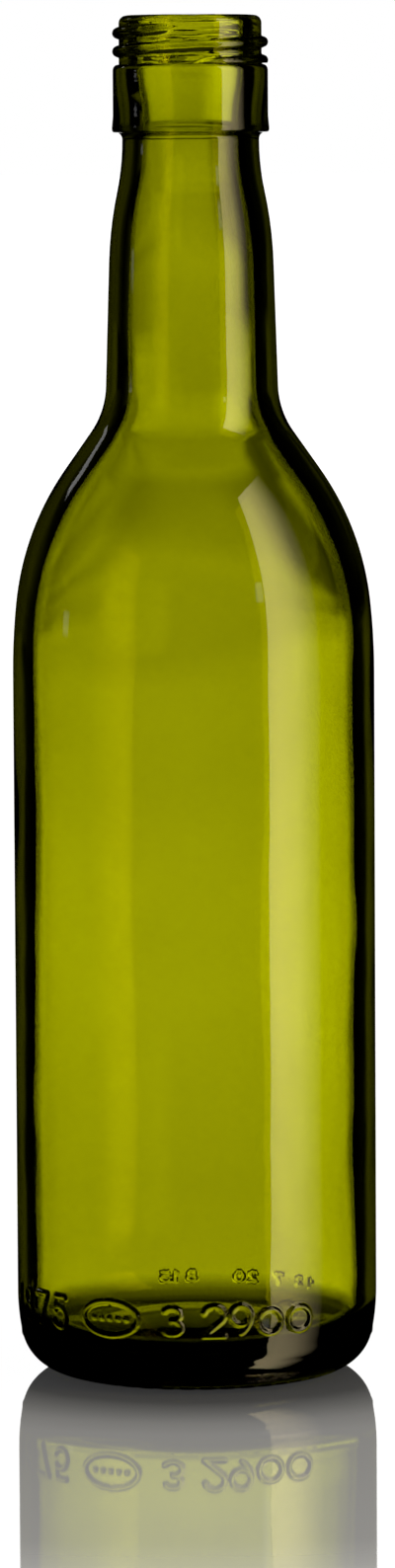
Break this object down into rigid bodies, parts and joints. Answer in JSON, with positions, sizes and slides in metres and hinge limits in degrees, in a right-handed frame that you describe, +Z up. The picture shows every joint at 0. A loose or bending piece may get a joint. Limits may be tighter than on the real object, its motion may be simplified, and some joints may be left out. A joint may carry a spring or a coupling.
{
  "type": "mini wine bottle",
  "caption": "Small empty wine bottle of clear olive green glass, with a round body, sloping shoulders, a slightly tapered neck and a threaded screw neck above a collar.",
  "frame": {"origin": "centre of the standing ring, on the plane the bottle stands on", "axes": "+Z up along the bottle's axis, towards the mouth; -Y is the front, where the thread starts; +X is to the right"},
  "size_m": [0.05, 0.05, 0.1876],
  "materials": {
    "green_glass": "glossy transparent olive green container glass"
  },
  "bodies": {
    "root": {"bottle": "green_glass"}
  },
  "joints": []
}
